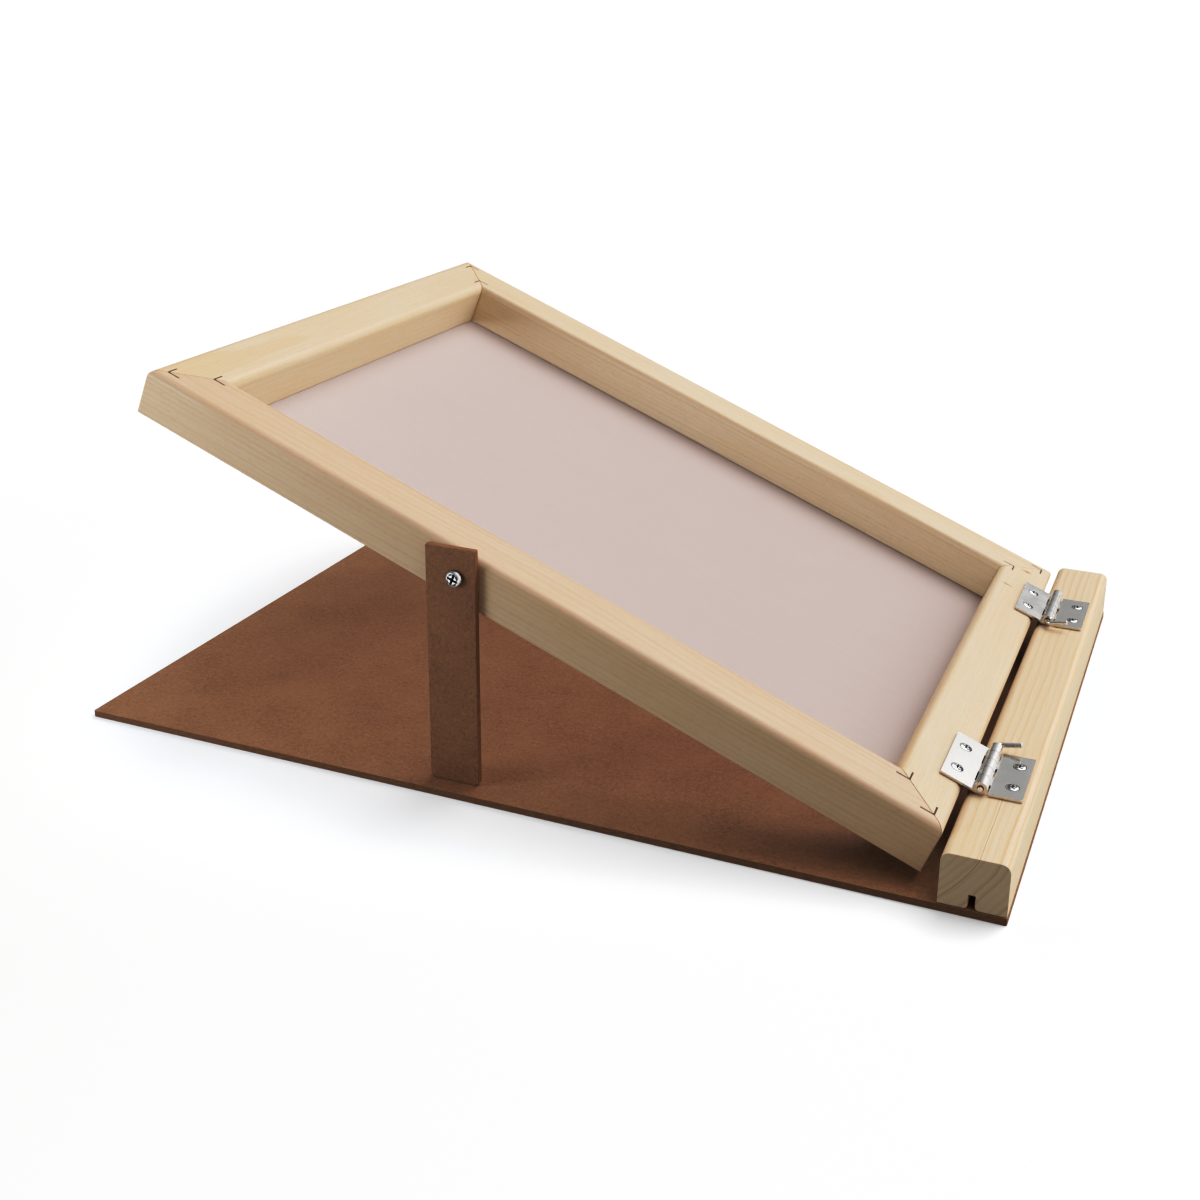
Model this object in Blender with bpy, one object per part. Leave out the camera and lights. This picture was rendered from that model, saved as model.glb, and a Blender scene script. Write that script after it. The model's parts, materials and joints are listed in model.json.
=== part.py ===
"""Hinged wooden screen printing frame on a hardboard base, with a prop leg.

Units are metres and +Z is up. The origin is the centre of the base board's
underside, +X points to the hinge bar and -Y to the side with the prop leg.
"""
import math

import bmesh
import bpy
from mathutils import Matrix, Vector

MM = 0.001

# Clearances
GAP = 0.3 * MM                  # between pieces that touch
MITRE_GAP = 0.15 * MM           # half of the seam between two mitred rails

# Hardboard base
BOARD_LENGTH = 452.5 * MM
BOARD_WIDTH = 338.4 * MM
BOARD_THICKNESS = 3.2 * MM

# Moulded wood stock, used for the four rails and for the hinge bar
STOCK_WIDTH = 28.3 * MM
STOCK_HEIGHT = 23.4 * MM
STOCK_ROUND = 4.0 * MM          # both top edges
GROOVE_FROM_OUTER = 13.0 * MM   # cord groove in the underside
GROOVE_WIDTH = 3.0 * MM
GROOVE_DEPTH = 6.5 * MM
GROOVE_MOUTH = 1.6 * MM          # radius that eases each lip of the groove
ROUND_STEPS = 6

# Screen frame, a 10 x 14 inch opening
FRAME_LENGTH = 410.8 * MM
FRAME_WIDTH = 310.0 * MM
FRAME_SHIFT_Y = -1.5 * MM       # the frame sits slightly towards the prop leg
FRAME_TILT = math.radians(21.6)

# Hinge axis
BAR_INSET_X = 0.3 * MM
BAR_INSET_Y = 0.5 * MM
PIVOT_FROM_EDGE = 22.4 * MM     # from the right edge of the board
PIVOT_OVER_WOOD = 3.3 * MM
PIVOT_TO_FRAME = 6.5 * MM       # from the axis to the frame's end face

# Loose-pin hinges
HINGE_LENGTH = 39.0 * MM
HINGE_CENTRES_Y = (-98.6 * MM, 97.2 * MM)
LEAF_REACH = 18.0 * MM          # from the axis to the leaf's outer edge
LEAF_THICKNESS = 1.2 * MM
LEAF_CORNER = 0.4 * MM
KNUCKLE_RADIUS = 3.0 * MM
KNUCKLE_COUNT = 5
BORE_RADIUS = 1.5 * MM
PIN_RADIUS = 1.2 * MM
PIN_BEND_RADIUS = 2.4 * MM
PIN_OVERHANG = 1.2 * MM         # past each end of the barrel
PIN_GRIP = 11.0 * MM            # from the axis to the tip of the bent end
PIN_LIFT = math.radians(10)     # the bent end points this far above level

# Screws
HINGE_SCREW_FROM_AXIS = 12.2 * MM
HINGE_SCREW_SPREAD = 0.25       # share of the leaf's length, from its middle
HINGE_SCREW_HEAD = 2.7 * MM     # radius
HINGE_SCREW_SHANK = 1.1 * MM
HINGE_SCREW_LENGTH = 11.0 * MM
PROP_SCREW_HEAD = 3.9 * MM
PROP_SCREW_SHANK = 1.6 * MM
PROP_SCREW_LENGTH = 19.0 * MM
BASE_SCREW_HEAD = 3.2 * MM
BASE_SCREW_SHANK = 1.4 * MM
BASE_SCREW_LENGTH = 14.0 * MM
BASE_SCREW_INSET_Y = 30.0 * MM
BASE_SCREW_COUNT = 4

# V-nails across the mitres
NAIL_FROM_OUTER = (6.2 * MM, 21.2 * MM)
NAIL_LEG = 6.4 * MM
NAIL_THICKNESS = 0.4 * MM
NAIL_HEIGHT = 7.0 * MM
NAIL_SINK = 0.15 * MM           # below the wood's top face
NAIL_CLEARANCE = 0.2 * MM

# Screen fabric and its cord
MESH_THICKNESS = 0.25 * MM
CORD_RADIUS = 1.1 * MM
CORD_DEPTH = 1.9 * MM           # from the underside to the cord's axis
CORD_SIDES = 8

# Prop leg
LEG_WIDTH = 24.6 * MM
LEG_THICKNESS = 3.2 * MM
LEG_OVER_PIVOT = 13.9 * MM
LEG_PIVOT_U = 233.6 * MM        # from the frame's hinge end, along the rail
LEG_PIVOT_W = 11.4 * MM         # above the rail's underside
LEG_PIVOT_OFF_CENTRE = 2.4 * MM
LEG_TOP_ROUND = 0.5 * MM
LEG_FOOT_ROUND = 2.0 * MM

# Places worked out from the sizes above
BAR_BASE_Z = BOARD_THICKNESS + GAP
BAR_TOP_Z = BAR_BASE_Z + STOCK_HEIGHT
PIVOT = Vector((BOARD_LENGTH / 2 - PIVOT_FROM_EDGE, 0.0, BAR_TOP_Z + PIVOT_OVER_WOOD))
FRAME_TOP = -PIVOT_OVER_WOOD                    # in the frame's own axes
FRAME_BASE = FRAME_TOP - STOCK_HEIGHT
FRAME_RIGHT = -PIVOT_TO_FRAME
FRAME_LEFT = FRAME_RIGHT - FRAME_LENGTH
FRAME_FRONT = FRAME_SHIFT_Y - FRAME_WIDTH / 2
FRAME_BACK = FRAME_SHIFT_Y + FRAME_WIDTH / 2

PALE_PINE = ("pale_pine", (0.78, 0.66, 0.50), 0.55, 0.0)
HARDBOARD = ("hardboard", (0.33, 0.21, 0.13), 0.65, 0.0)
DARK_HARDBOARD = ("dark_hardboard", (0.22, 0.13, 0.08), 0.60, 0.0)
NICKEL = ("nickel_plate", (0.72, 0.72, 0.72), 0.25, 1.0)
ZINC = ("zinc_plate", (0.60, 0.60, 0.58), 0.35, 1.0)
DARK_STEEL = ("dark_steel", (0.16, 0.15, 0.14), 0.50, 0.9)
SCREEN_FABRIC = ("screen_fabric", (0.68, 0.62, 0.64), 0.80, 0.0)
COTTON_CORD = ("cotton_cord", (0.82, 0.80, 0.74), 0.90, 0.0)


# ---------------------------------------------------------------- helpers

def clear_scene():
    for item in list(bpy.data.objects):
        bpy.data.objects.remove(item, do_unlink=True)


def material(spec):
    name, colour, roughness, metallic = spec
    found = bpy.data.materials.get(name)
    if found:
        return found
    made = bpy.data.materials.new(name)
    made.use_nodes = True
    shader = made.node_tree.nodes["Principled BSDF"]
    shader.inputs["Base Color"].default_value = (*colour, 1.0)
    shader.inputs["Roughness"].default_value = roughness
    shader.inputs["Metallic"].default_value = metallic
    return made


def place(name, mesh, parent=None, location=(0, 0, 0), spec=None):
    """A named object for a mesh; with no material it is a hidden cutter."""
    item = bpy.data.objects.new(name, mesh)
    bpy.context.collection.objects.link(item)
    item.parent = parent
    item.location = location
    if spec is None:
        item.hide_render = True
        item.display_type = "WIRE"
    elif not mesh.materials:
        mesh.materials.append(material(spec))
    return item


def mesh_from(bm, name, smooth=False):
    bmesh.ops.recalc_face_normals(bm, faces=bm.faces)
    mesh = bpy.data.meshes.new(name)
    bm.to_mesh(mesh)
    bm.free()
    if smooth:
        mesh.shade_smooth()
        mesh.set_sharp_from_angle(angle=math.radians(35))
    return mesh


def boolean(item, other, operation="DIFFERENCE"):
    modifier = item.modifiers.new(other.name, "BOOLEAN")
    modifier.operation = operation
    modifier.solver = "EXACT"
    modifier.object = other


def arc(centre, radius, start, end, steps):
    """Points on an arc, angles in degrees, both ends included."""
    points = []
    for step in range(steps + 1):
        angle = math.radians(start + (end - start) * step / steps)
        points.append((centre[0] + radius * math.cos(angle), centre[1] + radius * math.sin(angle)))
    return points


def add_prism(bm, outline, low, high, to_point):
    """A closed prism: the outline at two levels, mapped by to_point(a, b, level)."""
    bottom = [bm.verts.new(to_point(a, b, low)) for a, b in outline]
    top = [bm.verts.new(to_point(a, b, high)) for a, b in outline]
    count = len(outline)
    bm.faces.new(bottom[::-1])
    bm.faces.new(top)
    for index in range(count):
        after = (index + 1) % count
        bm.faces.new((bottom[index], bottom[after], top[after], top[index]))


def bridge(bm, rings):
    """Quads between each pair of neighbouring rings of vertices."""
    for first, second in zip(rings, rings[1:]):
        count = len(first)
        for index in range(count):
            after = (index + 1) % count
            bm.faces.new((first[index], first[after], second[after], second[index]))


def turned(bm, profile, matrix, sides):
    """A solid turned about Z from (radius, z) points that start and end on the axis."""
    first = bm.verts.new(matrix @ Vector((0, 0, profile[0][1])))
    last = bm.verts.new(matrix @ Vector((0, 0, profile[-1][1])))
    rings = []
    for radius, z in profile[1:-1]:
        ring = []
        for side in range(sides):
            angle = 2 * math.pi * side / sides
            ring.append(bm.verts.new(matrix @ Vector((radius * math.cos(angle), radius * math.sin(angle), z))))
        rings.append(ring)
    bridge(bm, rings)
    for side in range(sides):
        after = (side + 1) % sides
        bm.faces.new((first, rings[0][after], rings[0][side]))
        bm.faces.new((last, rings[-1][side], rings[-1][after]))


def swept_rod(bm, path, radius, sides):
    """A round rod along a path that lies in a plane of constant z."""
    rings = []
    for index, point in enumerate(path):
        before = path[max(index - 1, 0)]
        after = path[min(index + 1, len(path) - 1)]
        along = (Vector(after) - Vector(before)).normalized()
        across = along.cross(Vector((0, 0, 1)))
        ring = []
        for side in range(sides):
            angle = 2 * math.pi * side / sides
            offset = across * (radius * math.cos(angle)) + Vector((0, 0, radius * math.sin(angle)))
            ring.append(bm.verts.new(Vector(point) + offset))
        rings.append(ring)
    bridge(bm, rings)
    bm.faces.new(rings[0][::-1])
    bm.faces.new(rings[-1])


def rounded_rectangle(low, high, radius, steps=4):
    """A rectangle from low to high whose four corners are arcs of the given radius."""
    (x0, y0), (x1, y1) = low, high
    points = arc((x1 - radius, y0 + radius), radius, -90, 0, steps)
    points += arc((x1 - radius, y1 - radius), radius, 0, 90, steps)
    points += arc((x0 + radius, y1 - radius), radius, 90, 180, steps)
    points += arc((x0 + radius, y0 + radius), radius, 180, 270, steps)
    return points


# ---------------------------------------------------------------- wood

def stock_section():
    """The wood's cross-section as (from the outer face, above the underside)."""
    inner = STOCK_WIDTH
    groove_in = GROOVE_FROM_OUTER + GROOVE_WIDTH
    section = [(0.0, 0.0)]
    section += arc((GROOVE_FROM_OUTER - GROOVE_MOUTH, GROOVE_MOUTH), GROOVE_MOUTH, 270, 360, 3)
    section += [(GROOVE_FROM_OUTER, GROOVE_DEPTH), (groove_in, GROOVE_DEPTH)]
    section += arc((groove_in + GROOVE_MOUTH, GROOVE_MOUTH), GROOVE_MOUTH, 180, 270, 3)
    section += [(inner, 0.0)]
    section += arc((inner - STOCK_ROUND, STOCK_HEIGHT - STOCK_ROUND), STOCK_ROUND, 0, 90, ROUND_STEPS)
    section += arc((STOCK_ROUND, STOCK_HEIGHT - STOCK_ROUND), STOCK_ROUND, 90, 180, ROUND_STEPS)
    return section


def stock_mesh(name, length, mitred, to_point):
    """A length of stock; a mitred one gets 45 degree ends. to_point maps (along, in, up)."""
    bm = bmesh.new()
    ends = []
    for at_start in (True, False):
        ring = []
        for inward, up in stock_section():
            trim = inward + MITRE_GAP if mitred else 0.0
            along = trim if at_start else length - trim
            ring.append(bm.verts.new(to_point(along, inward, up)))
        ends.append(ring)
    bridge(bm, ends)
    bm.faces.new(ends[0][::-1])
    bm.faces.new(ends[1])
    return mesh_from(bm, name, smooth=True)


def build_base(root):
    bm = bmesh.new()
    outline = rounded_rectangle((-BOARD_LENGTH / 2, -BOARD_WIDTH / 2),
                                (BOARD_LENGTH / 2, BOARD_WIDTH / 2), 0.8 * MM, 2)
    add_prism(bm, outline, 0.0, BOARD_THICKNESS, lambda x, y, z: (x, y, z))
    board = place("base_board", mesh_from(bm, "base_board"), root, spec=HARDBOARD)

    bar_right = BOARD_LENGTH / 2 - BAR_INSET_X
    bar_length = BOARD_WIDTH - 2 * BAR_INSET_Y

    def bar_point(along, inward, up):
        return (bar_right - inward, along - bar_length / 2, BAR_BASE_Z + up)

    bar = place("hinge_bar", stock_mesh("hinge_bar", bar_length, False, bar_point), root, spec=PALE_PINE)
    return board, bar


def build_rails(pivot):
    def front(along, inward, up):
        return (FRAME_LEFT + along, FRAME_FRONT + inward, FRAME_BASE + up)

    def back(along, inward, up):
        return (FRAME_LEFT + along, FRAME_BACK - inward, FRAME_BASE + up)

    def free(along, inward, up):
        return (FRAME_LEFT + inward, FRAME_FRONT + along, FRAME_BASE + up)

    def hinge(along, inward, up):
        return (FRAME_RIGHT - inward, FRAME_FRONT + along, FRAME_BASE + up)

    layout = (("side_rail_front", FRAME_LENGTH, front), ("side_rail_back", FRAME_LENGTH, back),
              ("end_rail_free", FRAME_WIDTH, free), ("end_rail_hinge", FRAME_WIDTH, hinge))
    rails = {}
    for name, length, to_point in layout:
        rails[name] = place(name, stock_mesh(name, length, True, to_point), pivot, spec=PALE_PINE)
    return rails


# ---------------------------------------------------------------- v-nails

def nail_outline(thickness, extra):
    """An L whose legs run from the origin along +a and +b, grown by extra all round."""
    leg = NAIL_LEG + extra
    low = -extra
    high = thickness + extra
    return [(low, low), (leg, low), (leg, high), (high, high), (high, leg), (low, leg)]


def build_v_nails(pivot, rails):
    corners = (("front_free", FRAME_LEFT, FRAME_FRONT, 1, 1), ("back_free", FRAME_LEFT, FRAME_BACK, 1, -1),
               ("front_hinge", FRAME_RIGHT, FRAME_FRONT, -1, 1), ("back_hinge", FRAME_RIGHT, FRAME_BACK, -1, -1))
    top = FRAME_TOP - NAIL_SINK
    slots = bmesh.new()
    for corner, x0, y0, to_x, to_y in corners:
        for place_name, inset in zip(("outer", "inner"), NAIL_FROM_OUTER):
            def to_point(a, b, z):
                return (x0 + to_x * (inset + a), y0 + to_y * (inset + b), z)

            nail = bmesh.new()
            add_prism(nail, nail_outline(NAIL_THICKNESS, 0.0), top - NAIL_HEIGHT, top, to_point)
            add_prism(slots, nail_outline(NAIL_THICKNESS, NAIL_CLEARANCE),
                      top - NAIL_HEIGHT - GAP, FRAME_TOP + GAP, to_point)
            name = "v_nail_" + corner + "_" + place_name
            place(name, mesh_from(nail, name), pivot, spec=DARK_STEEL)
    cutter = place("cut_v_nail_slots", mesh_from(slots, "cut_v_nail_slots"), pivot)
    for rail in rails.values():
        boolean(rail, cutter)


# ---------------------------------------------------------------- screen

def rectangle_ring(bm, inset, z):
    """Four vertices on the frame's outline moved inwards, counterclockwise from above."""
    x0, x1 = FRAME_LEFT + inset, FRAME_RIGHT - inset
    y0, y1 = FRAME_FRONT + inset, FRAME_BACK - inset
    return [bm.verts.new((x, y, z)) for x, y in ((x0, y0), (x1, y0), (x1, y1), (x0, y1))]


def build_screen(pivot):
    bm = bmesh.new()
    edge = GROOVE_FROM_OUTER
    lower = rectangle_ring(bm, edge, FRAME_BASE - GAP - MESH_THICKNESS)
    upper = rectangle_ring(bm, edge, FRAME_BASE - GAP)
    bridge(bm, [lower, upper])
    bm.faces.new(lower[::-1])
    bm.faces.new(upper)
    place("screen_mesh", mesh_from(bm, "screen_mesh"), pivot, spec=SCREEN_FABRIC)

    bm = bmesh.new()
    middle = GROOVE_FROM_OUTER + GROOVE_WIDTH / 2
    rings = []
    for side in range(CORD_SIDES):
        angle = 2 * math.pi * side / CORD_SIDES
        inset = middle + CORD_RADIUS * math.cos(angle)
        rings.append(rectangle_ring(bm, inset, FRAME_BASE + CORD_DEPTH + CORD_RADIUS * math.sin(angle)))
    bridge(bm, rings + rings[:1])
    place("screen_cord", mesh_from(bm, "screen_cord", smooth=True), pivot, spec=COTTON_CORD)


# ---------------------------------------------------------------- screws

def cross_cutter(name, width, depth, half_length):
    """The tapered cross of a driver recess, its mouth at z = 0."""
    bm = bmesh.new()
    half = width / 2
    corners = [(half, half), (half_length, half), (half_length, -half), (half, -half)]
    outline = []
    for quarter in range(4):
        turn = Matrix.Rotation(-quarter * math.pi / 2, 2)
        outline += [tuple(turn @ Vector(corner)) for corner in corners[:3]]
    lift = 0.5 * MM
    rings = []
    for z, scale in ((lift, 1.0), (0.0, 1.0), (-depth, 0.45)):
        rings.append([bm.verts.new((x * scale, y * scale, z)) for x, y in outline])
    bridge(bm, rings)
    bm.faces.new(rings[0][::-1])
    bm.faces.new(rings[-1])
    return mesh_from(bm, name)


def screw_mesh(name, profile, top, width, depth, half_length, sides):
    """A turned screw with a cross recess cut in its head, as one finished mesh."""
    bm = bmesh.new()
    turned(bm, profile, Matrix.Identity(4), sides)
    blank = place(name + "_blank", mesh_from(bm, name + "_blank"))
    recess = place("cut_" + name, cross_cutter("cut_" + name, width, depth, half_length), location=(0, 0, top))
    boolean(blank, recess)
    bpy.context.view_layer.update()
    finished = bpy.data.meshes.new_from_object(blank.evaluated_get(bpy.context.evaluated_depsgraph_get()))
    finished.name = name
    finished.shade_smooth()
    finished.set_sharp_from_angle(angle=math.radians(35))
    bpy.data.objects.remove(blank, do_unlink=True)
    bpy.data.objects.remove(recess, do_unlink=True)
    return finished


def countersunk_profile(head, shank, length, crown):
    """(radius, z) of a countersunk screw whose rim lies at z = 0 and tip at -length."""
    cone = (head - shank) * 0.8
    rise = [(head * math.cos(math.radians(a)), crown * math.sin(math.radians(a))) for a in (60, 30)]
    return ([(0.0, crown)] + rise
            + [(head, 0.0), (head, -0.15 * MM), (shank, -0.15 * MM - cone),
               (shank, -length + 3 * shank), (0.25 * shank, -length), (0.0, -length)])


def pan_profile(head, shank, length, rise):
    """(radius, z) of a pan head screw whose head's underside lies at z = 0."""
    points = [(0.0, rise)]
    for angle in (75, 55, 35, 15):
        points.append((head * math.cos(math.radians(angle)) ** 0.5, rise * math.sin(math.radians(angle)) ** 0.8))
    points += [(head, 0.25 * rise), (head * 0.97, 0.0), (shank, 0.0), (shank, -length + 3 * shank)]
    return points + [(0.25 * shank, -length), (0.0, -length)]


def hole_cutter(bm, matrix, radius, low, high, sides=16):
    turned(bm, [(0, high), (radius, high), (radius, low), (0, low)], matrix, sides)


# ---------------------------------------------------------------- hinges

def leaf_mesh(name, knuckles, to_side):
    """A leaf's plate, on the side of the axis that to_side (+1 or -1) names."""
    bm = bmesh.new()
    start = KNUCKLE_RADIUS + 1.4 * GAP
    half = HINGE_LENGTH / 2
    round_x = LEAF_REACH - LEAF_CORNER
    round_y = half - LEAF_CORNER
    outline = [(start, -half)] + arc((round_x, -round_y), LEAF_CORNER, -90, 0, 2)
    outline += arc((round_x, round_y), LEAF_CORNER, 0, 90, 2) + [(start, half)]
    add_prism(bm, outline, -KNUCKLE_RADIUS, -KNUCKLE_RADIUS + LEAF_THICKNESS,
              lambda x, y, z: (to_side * x, y, z))
    plate = mesh_from(bm, name)

    bm = bmesh.new()
    meet = math.degrees(math.asin((LEAF_THICKNESS - KNUCKLE_RADIUS) / KNUCKLE_RADIUS))
    curl = arc((0, 0), KNUCKLE_RADIUS, -90, meet - 360, 24)
    tail = start + GAP
    curl += [(tail, LEAF_THICKNESS - KNUCKLE_RADIUS), (tail, -KNUCKLE_RADIUS)]
    pitch = HINGE_LENGTH / KNUCKLE_COUNT
    for knuckle in knuckles:
        low = -half + knuckle * pitch + (GAP / 2 if knuckle > 0 else 0.0)
        high = -half + (knuckle + 1) * pitch - (GAP / 2 if knuckle < KNUCKLE_COUNT - 1 else 0.0)
        add_prism(bm, curl, low, high, lambda x, z, y: (to_side * x, y, z))
    return plate, mesh_from(bm, name + "_knuckles")


def pin_mesh(name, to_y):
    """A pin along Y whose end towards to_y is bent over to +X as a grip."""
    bm = bmesh.new()
    near = HINGE_LENGTH / 2 + PIN_OVERHANG
    path = [(0.0, -near * to_y, 0.0), (0.0, near * to_y, 0.0)]
    for x, y in arc((PIN_BEND_RADIUS, 0.0), PIN_BEND_RADIUS, 180, 90, 5)[1:]:
        path.append((x, (near + y) * to_y, 0.0))
    path.append((PIN_GRIP, (near + PIN_BEND_RADIUS) * to_y, 0.0))
    swept_rod(bm, path, PIN_RADIUS, 12)
    return mesh_from(bm, name, smooth=True)


def build_hinges(root, pivot, bar, end_rail):
    leaf_top = -KNUCKLE_RADIUS + LEAF_THICKNESS
    screw = screw_mesh("hinge_screw", countersunk_profile(HINGE_SCREW_HEAD, HINGE_SCREW_SHANK,
                                                          HINGE_SCREW_LENGTH, 0.55 * MM),
                       0.45 * MM, 0.9 * MM, 1.0 * MM, 1.85 * MM, 20)
    sides = {"bar": (root, PIVOT, 1, (1, 3), bar), "frame": (pivot, Vector((0, 0, 0)), -1, (0, 2, 4), end_rail)}
    for part, (parent, axis, to_side, knuckles, wood) in sides.items():
        wood_holes = bmesh.new()
        for where, centre_y in zip(("front", "back"), HINGE_CENTRES_Y):
            name = "hinge_leaf_" + part + "_" + where
            at = axis + Vector((0, centre_y, 0))
            plate, curls = leaf_mesh(name, knuckles, to_side)
            leaf = place(name, plate, parent, at, NICKEL)
            boolean(leaf, place("cut_" + name + "_knuckles", curls, parent, at), "UNION")
            cuts = bmesh.new()
            along_y = Matrix.Rotation(math.pi / 2, 4, "X")
            hole_cutter(cuts, along_y, BORE_RADIUS, -HINGE_LENGTH, HINGE_LENGTH, 20)
            for number, sign in enumerate((-1, 1), 1):
                spot = Vector((to_side * HINGE_SCREW_FROM_AXIS, sign * HINGE_SCREW_SPREAD * HINGE_LENGTH, leaf_top))
                shift = Matrix.Translation(spot)
                seat = HINGE_SCREW_HEAD + GAP
                shank = HINGE_SCREW_SHANK + GAP
                cone = (seat - shank) * 0.8
                turned(cuts, [(0, 1 * MM), (seat, 1 * MM), (seat, -0.3 * MM), (shank, -0.3 * MM - cone),
                              (shank, -3 * MM), (0, -3 * MM)], shift, 20)
                turned(wood_holes, [(0, 0), (seat, 0), (seat, -0.3 * MM), (shank, -0.3 * MM - cone),
                                    (shank, -HINGE_SCREW_LENGTH - GAP), (0, -HINGE_SCREW_LENGTH - GAP)],
                       Matrix.Translation(at) @ shift, 20)
                place("hinge_screw_" + part + "_" + where + "_" + str(number), screw, parent, at + spot, ZINC)
            boolean(leaf, place("cut_" + name, mesh_from(cuts, "cut_" + name), parent, at))
        boolean(wood, place("cut_" + part + "_wood", mesh_from(wood_holes, "cut_" + part + "_wood"), parent))
    for where, centre_y, to_y in zip(("front", "back"), HINGE_CENTRES_Y, (1, -1)):
        name = "hinge_pin_" + where
        pin = place(name, pin_mesh(name, to_y), root, PIVOT + Vector((0, centre_y, 0)), NICKEL)
        pin.rotation_euler.y = -PIN_LIFT


# ---------------------------------------------------------------- prop leg

def leg_outline(below):
    """The leg seen from the front, about its pivot, which is off its centre line."""
    left = -LEG_WIDTH / 2 - LEG_PIVOT_OFF_CENTRE
    right = LEG_WIDTH / 2 - LEG_PIVOT_OFF_CENTRE
    top = LEG_OVER_PIVOT
    outline = arc((left + LEG_FOOT_ROUND, -below + LEG_FOOT_ROUND), LEG_FOOT_ROUND, 180, 270, 3)
    outline += arc((right - LEG_FOOT_ROUND, -below + LEG_FOOT_ROUND), LEG_FOOT_ROUND, 270, 360, 3)
    outline += arc((right - LEG_TOP_ROUND, top - LEG_TOP_ROUND), LEG_TOP_ROUND, 0, 90, 3)
    outline += arc((left + LEG_TOP_ROUND, top - LEG_TOP_ROUND), LEG_TOP_ROUND, 90, 180, 3)
    return outline


def build_prop(root, pivot, rail):
    back_y = FRAME_FRONT - GAP
    front_y = back_y - LEG_THICKNESS
    local = Vector((FRAME_RIGHT - LEG_PIVOT_U, 0, FRAME_BASE + LEG_PIVOT_W))
    centre = PIVOT + Matrix.Rotation(FRAME_TILT, 3, "Y") @ local
    below = centre.z - BOARD_THICKNESS - GAP
    along_y = Matrix.Rotation(math.pi / 2, 4, "X")

    bm = bmesh.new()
    add_prism(bm, leg_outline(below), front_y, back_y, lambda x, z, y: (x, y, z))
    leg = place("prop_leg", mesh_from(bm, "prop_leg"), root, centre, DARK_HARDBOARD)
    hole = bmesh.new()
    hole_cutter(hole, along_y, PROP_SCREW_SHANK + GAP, BOARD_WIDTH / 4, BOARD_WIDTH, 20)
    boolean(leg, place("cut_leg_hole", mesh_from(hole, "cut_leg_hole"), root, centre))

    screw = screw_mesh("prop_screw", pan_profile(PROP_SCREW_HEAD, PROP_SCREW_SHANK, PROP_SCREW_LENGTH, 2.6 * MM),
                       2.4 * MM, 1.3 * MM, 1.8 * MM, 2.6 * MM, 24)
    item = place("prop_screw", screw, pivot, local + Vector((0, front_y - GAP, 0)), ZINC)
    item.rotation_euler = (math.pi / 2, 0, 0)
    bore = bmesh.new()
    hole_cutter(bore, along_y, PROP_SCREW_SHANK + GAP, -FRAME_FRONT - STOCK_WIDTH * 0.6, BOARD_WIDTH, 20)
    boolean(rail, place("cut_prop_bore", mesh_from(bore, "cut_prop_bore"), pivot, local))


# ---------------------------------------------------------------- base screws

def build_base_screws(root, board, bar):
    """Countersunk screws up through the board into the bar, clear of its cord groove."""
    screw = screw_mesh("base_screw", countersunk_profile(BASE_SCREW_HEAD, BASE_SCREW_SHANK,
                                                         BASE_SCREW_LENGTH, 0.1 * MM),
                       0.1 * MM, 0.8 * MM, 1.2 * MM, 1.8 * MM, 20)
    x = BOARD_LENGTH / 2 - BAR_INSET_X - STOCK_WIDTH + 6.0 * MM
    holes = bmesh.new()
    first = -BOARD_WIDTH / 2 + BASE_SCREW_INSET_Y
    step = -2 * first / (BASE_SCREW_COUNT - 1)
    for number in range(BASE_SCREW_COUNT):
        spot = Vector((x, first + number * step, 0.2 * MM))
        upside_down = Matrix.Translation(spot) @ Matrix.Rotation(math.pi, 4, "X")
        seat = BASE_SCREW_HEAD + GAP
        shank = BASE_SCREW_SHANK + GAP
        cone = (seat - shank) * 0.8
        turned(holes, [(0, 1 * MM), (seat, 1 * MM), (seat, -0.3 * MM), (shank, -0.3 * MM - cone),
                       (shank, -BASE_SCREW_LENGTH - GAP), (0, -BASE_SCREW_LENGTH - GAP)], upside_down, 20)
        item = place("base_screw_" + str(number + 1), screw, root, spot, ZINC)
        item.rotation_euler = (math.pi, 0, 0)
    cutter = place("cut_base_screws", mesh_from(holes, "cut_base_screws"), root)
    boolean(board, cutter)
    boolean(bar, cutter)


def main():
    clear_scene()
    root = bpy.data.objects.new("screen_printing_frame", None)
    bpy.context.collection.objects.link(root)
    pivot = bpy.data.objects.new("frame_hinge_axis", None)
    bpy.context.collection.objects.link(pivot)
    pivot.parent = root
    pivot.location = PIVOT
    pivot.rotation_euler = (0, FRAME_TILT, 0)

    board, bar = build_base(root)
    rails = build_rails(pivot)
    build_v_nails(pivot, rails)
    build_screen(pivot)
    build_hinges(root, pivot, bar, rails["end_rail_hinge"])
    build_prop(root, pivot, rails["side_rail_front"])
    build_base_screws(root, board, bar)


main()
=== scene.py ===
"""Screen printing frame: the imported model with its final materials, mesh cloth, light and camera."""
import json
import math

import bmesh
import bpy
from mathutils import Matrix, Vector

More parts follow.
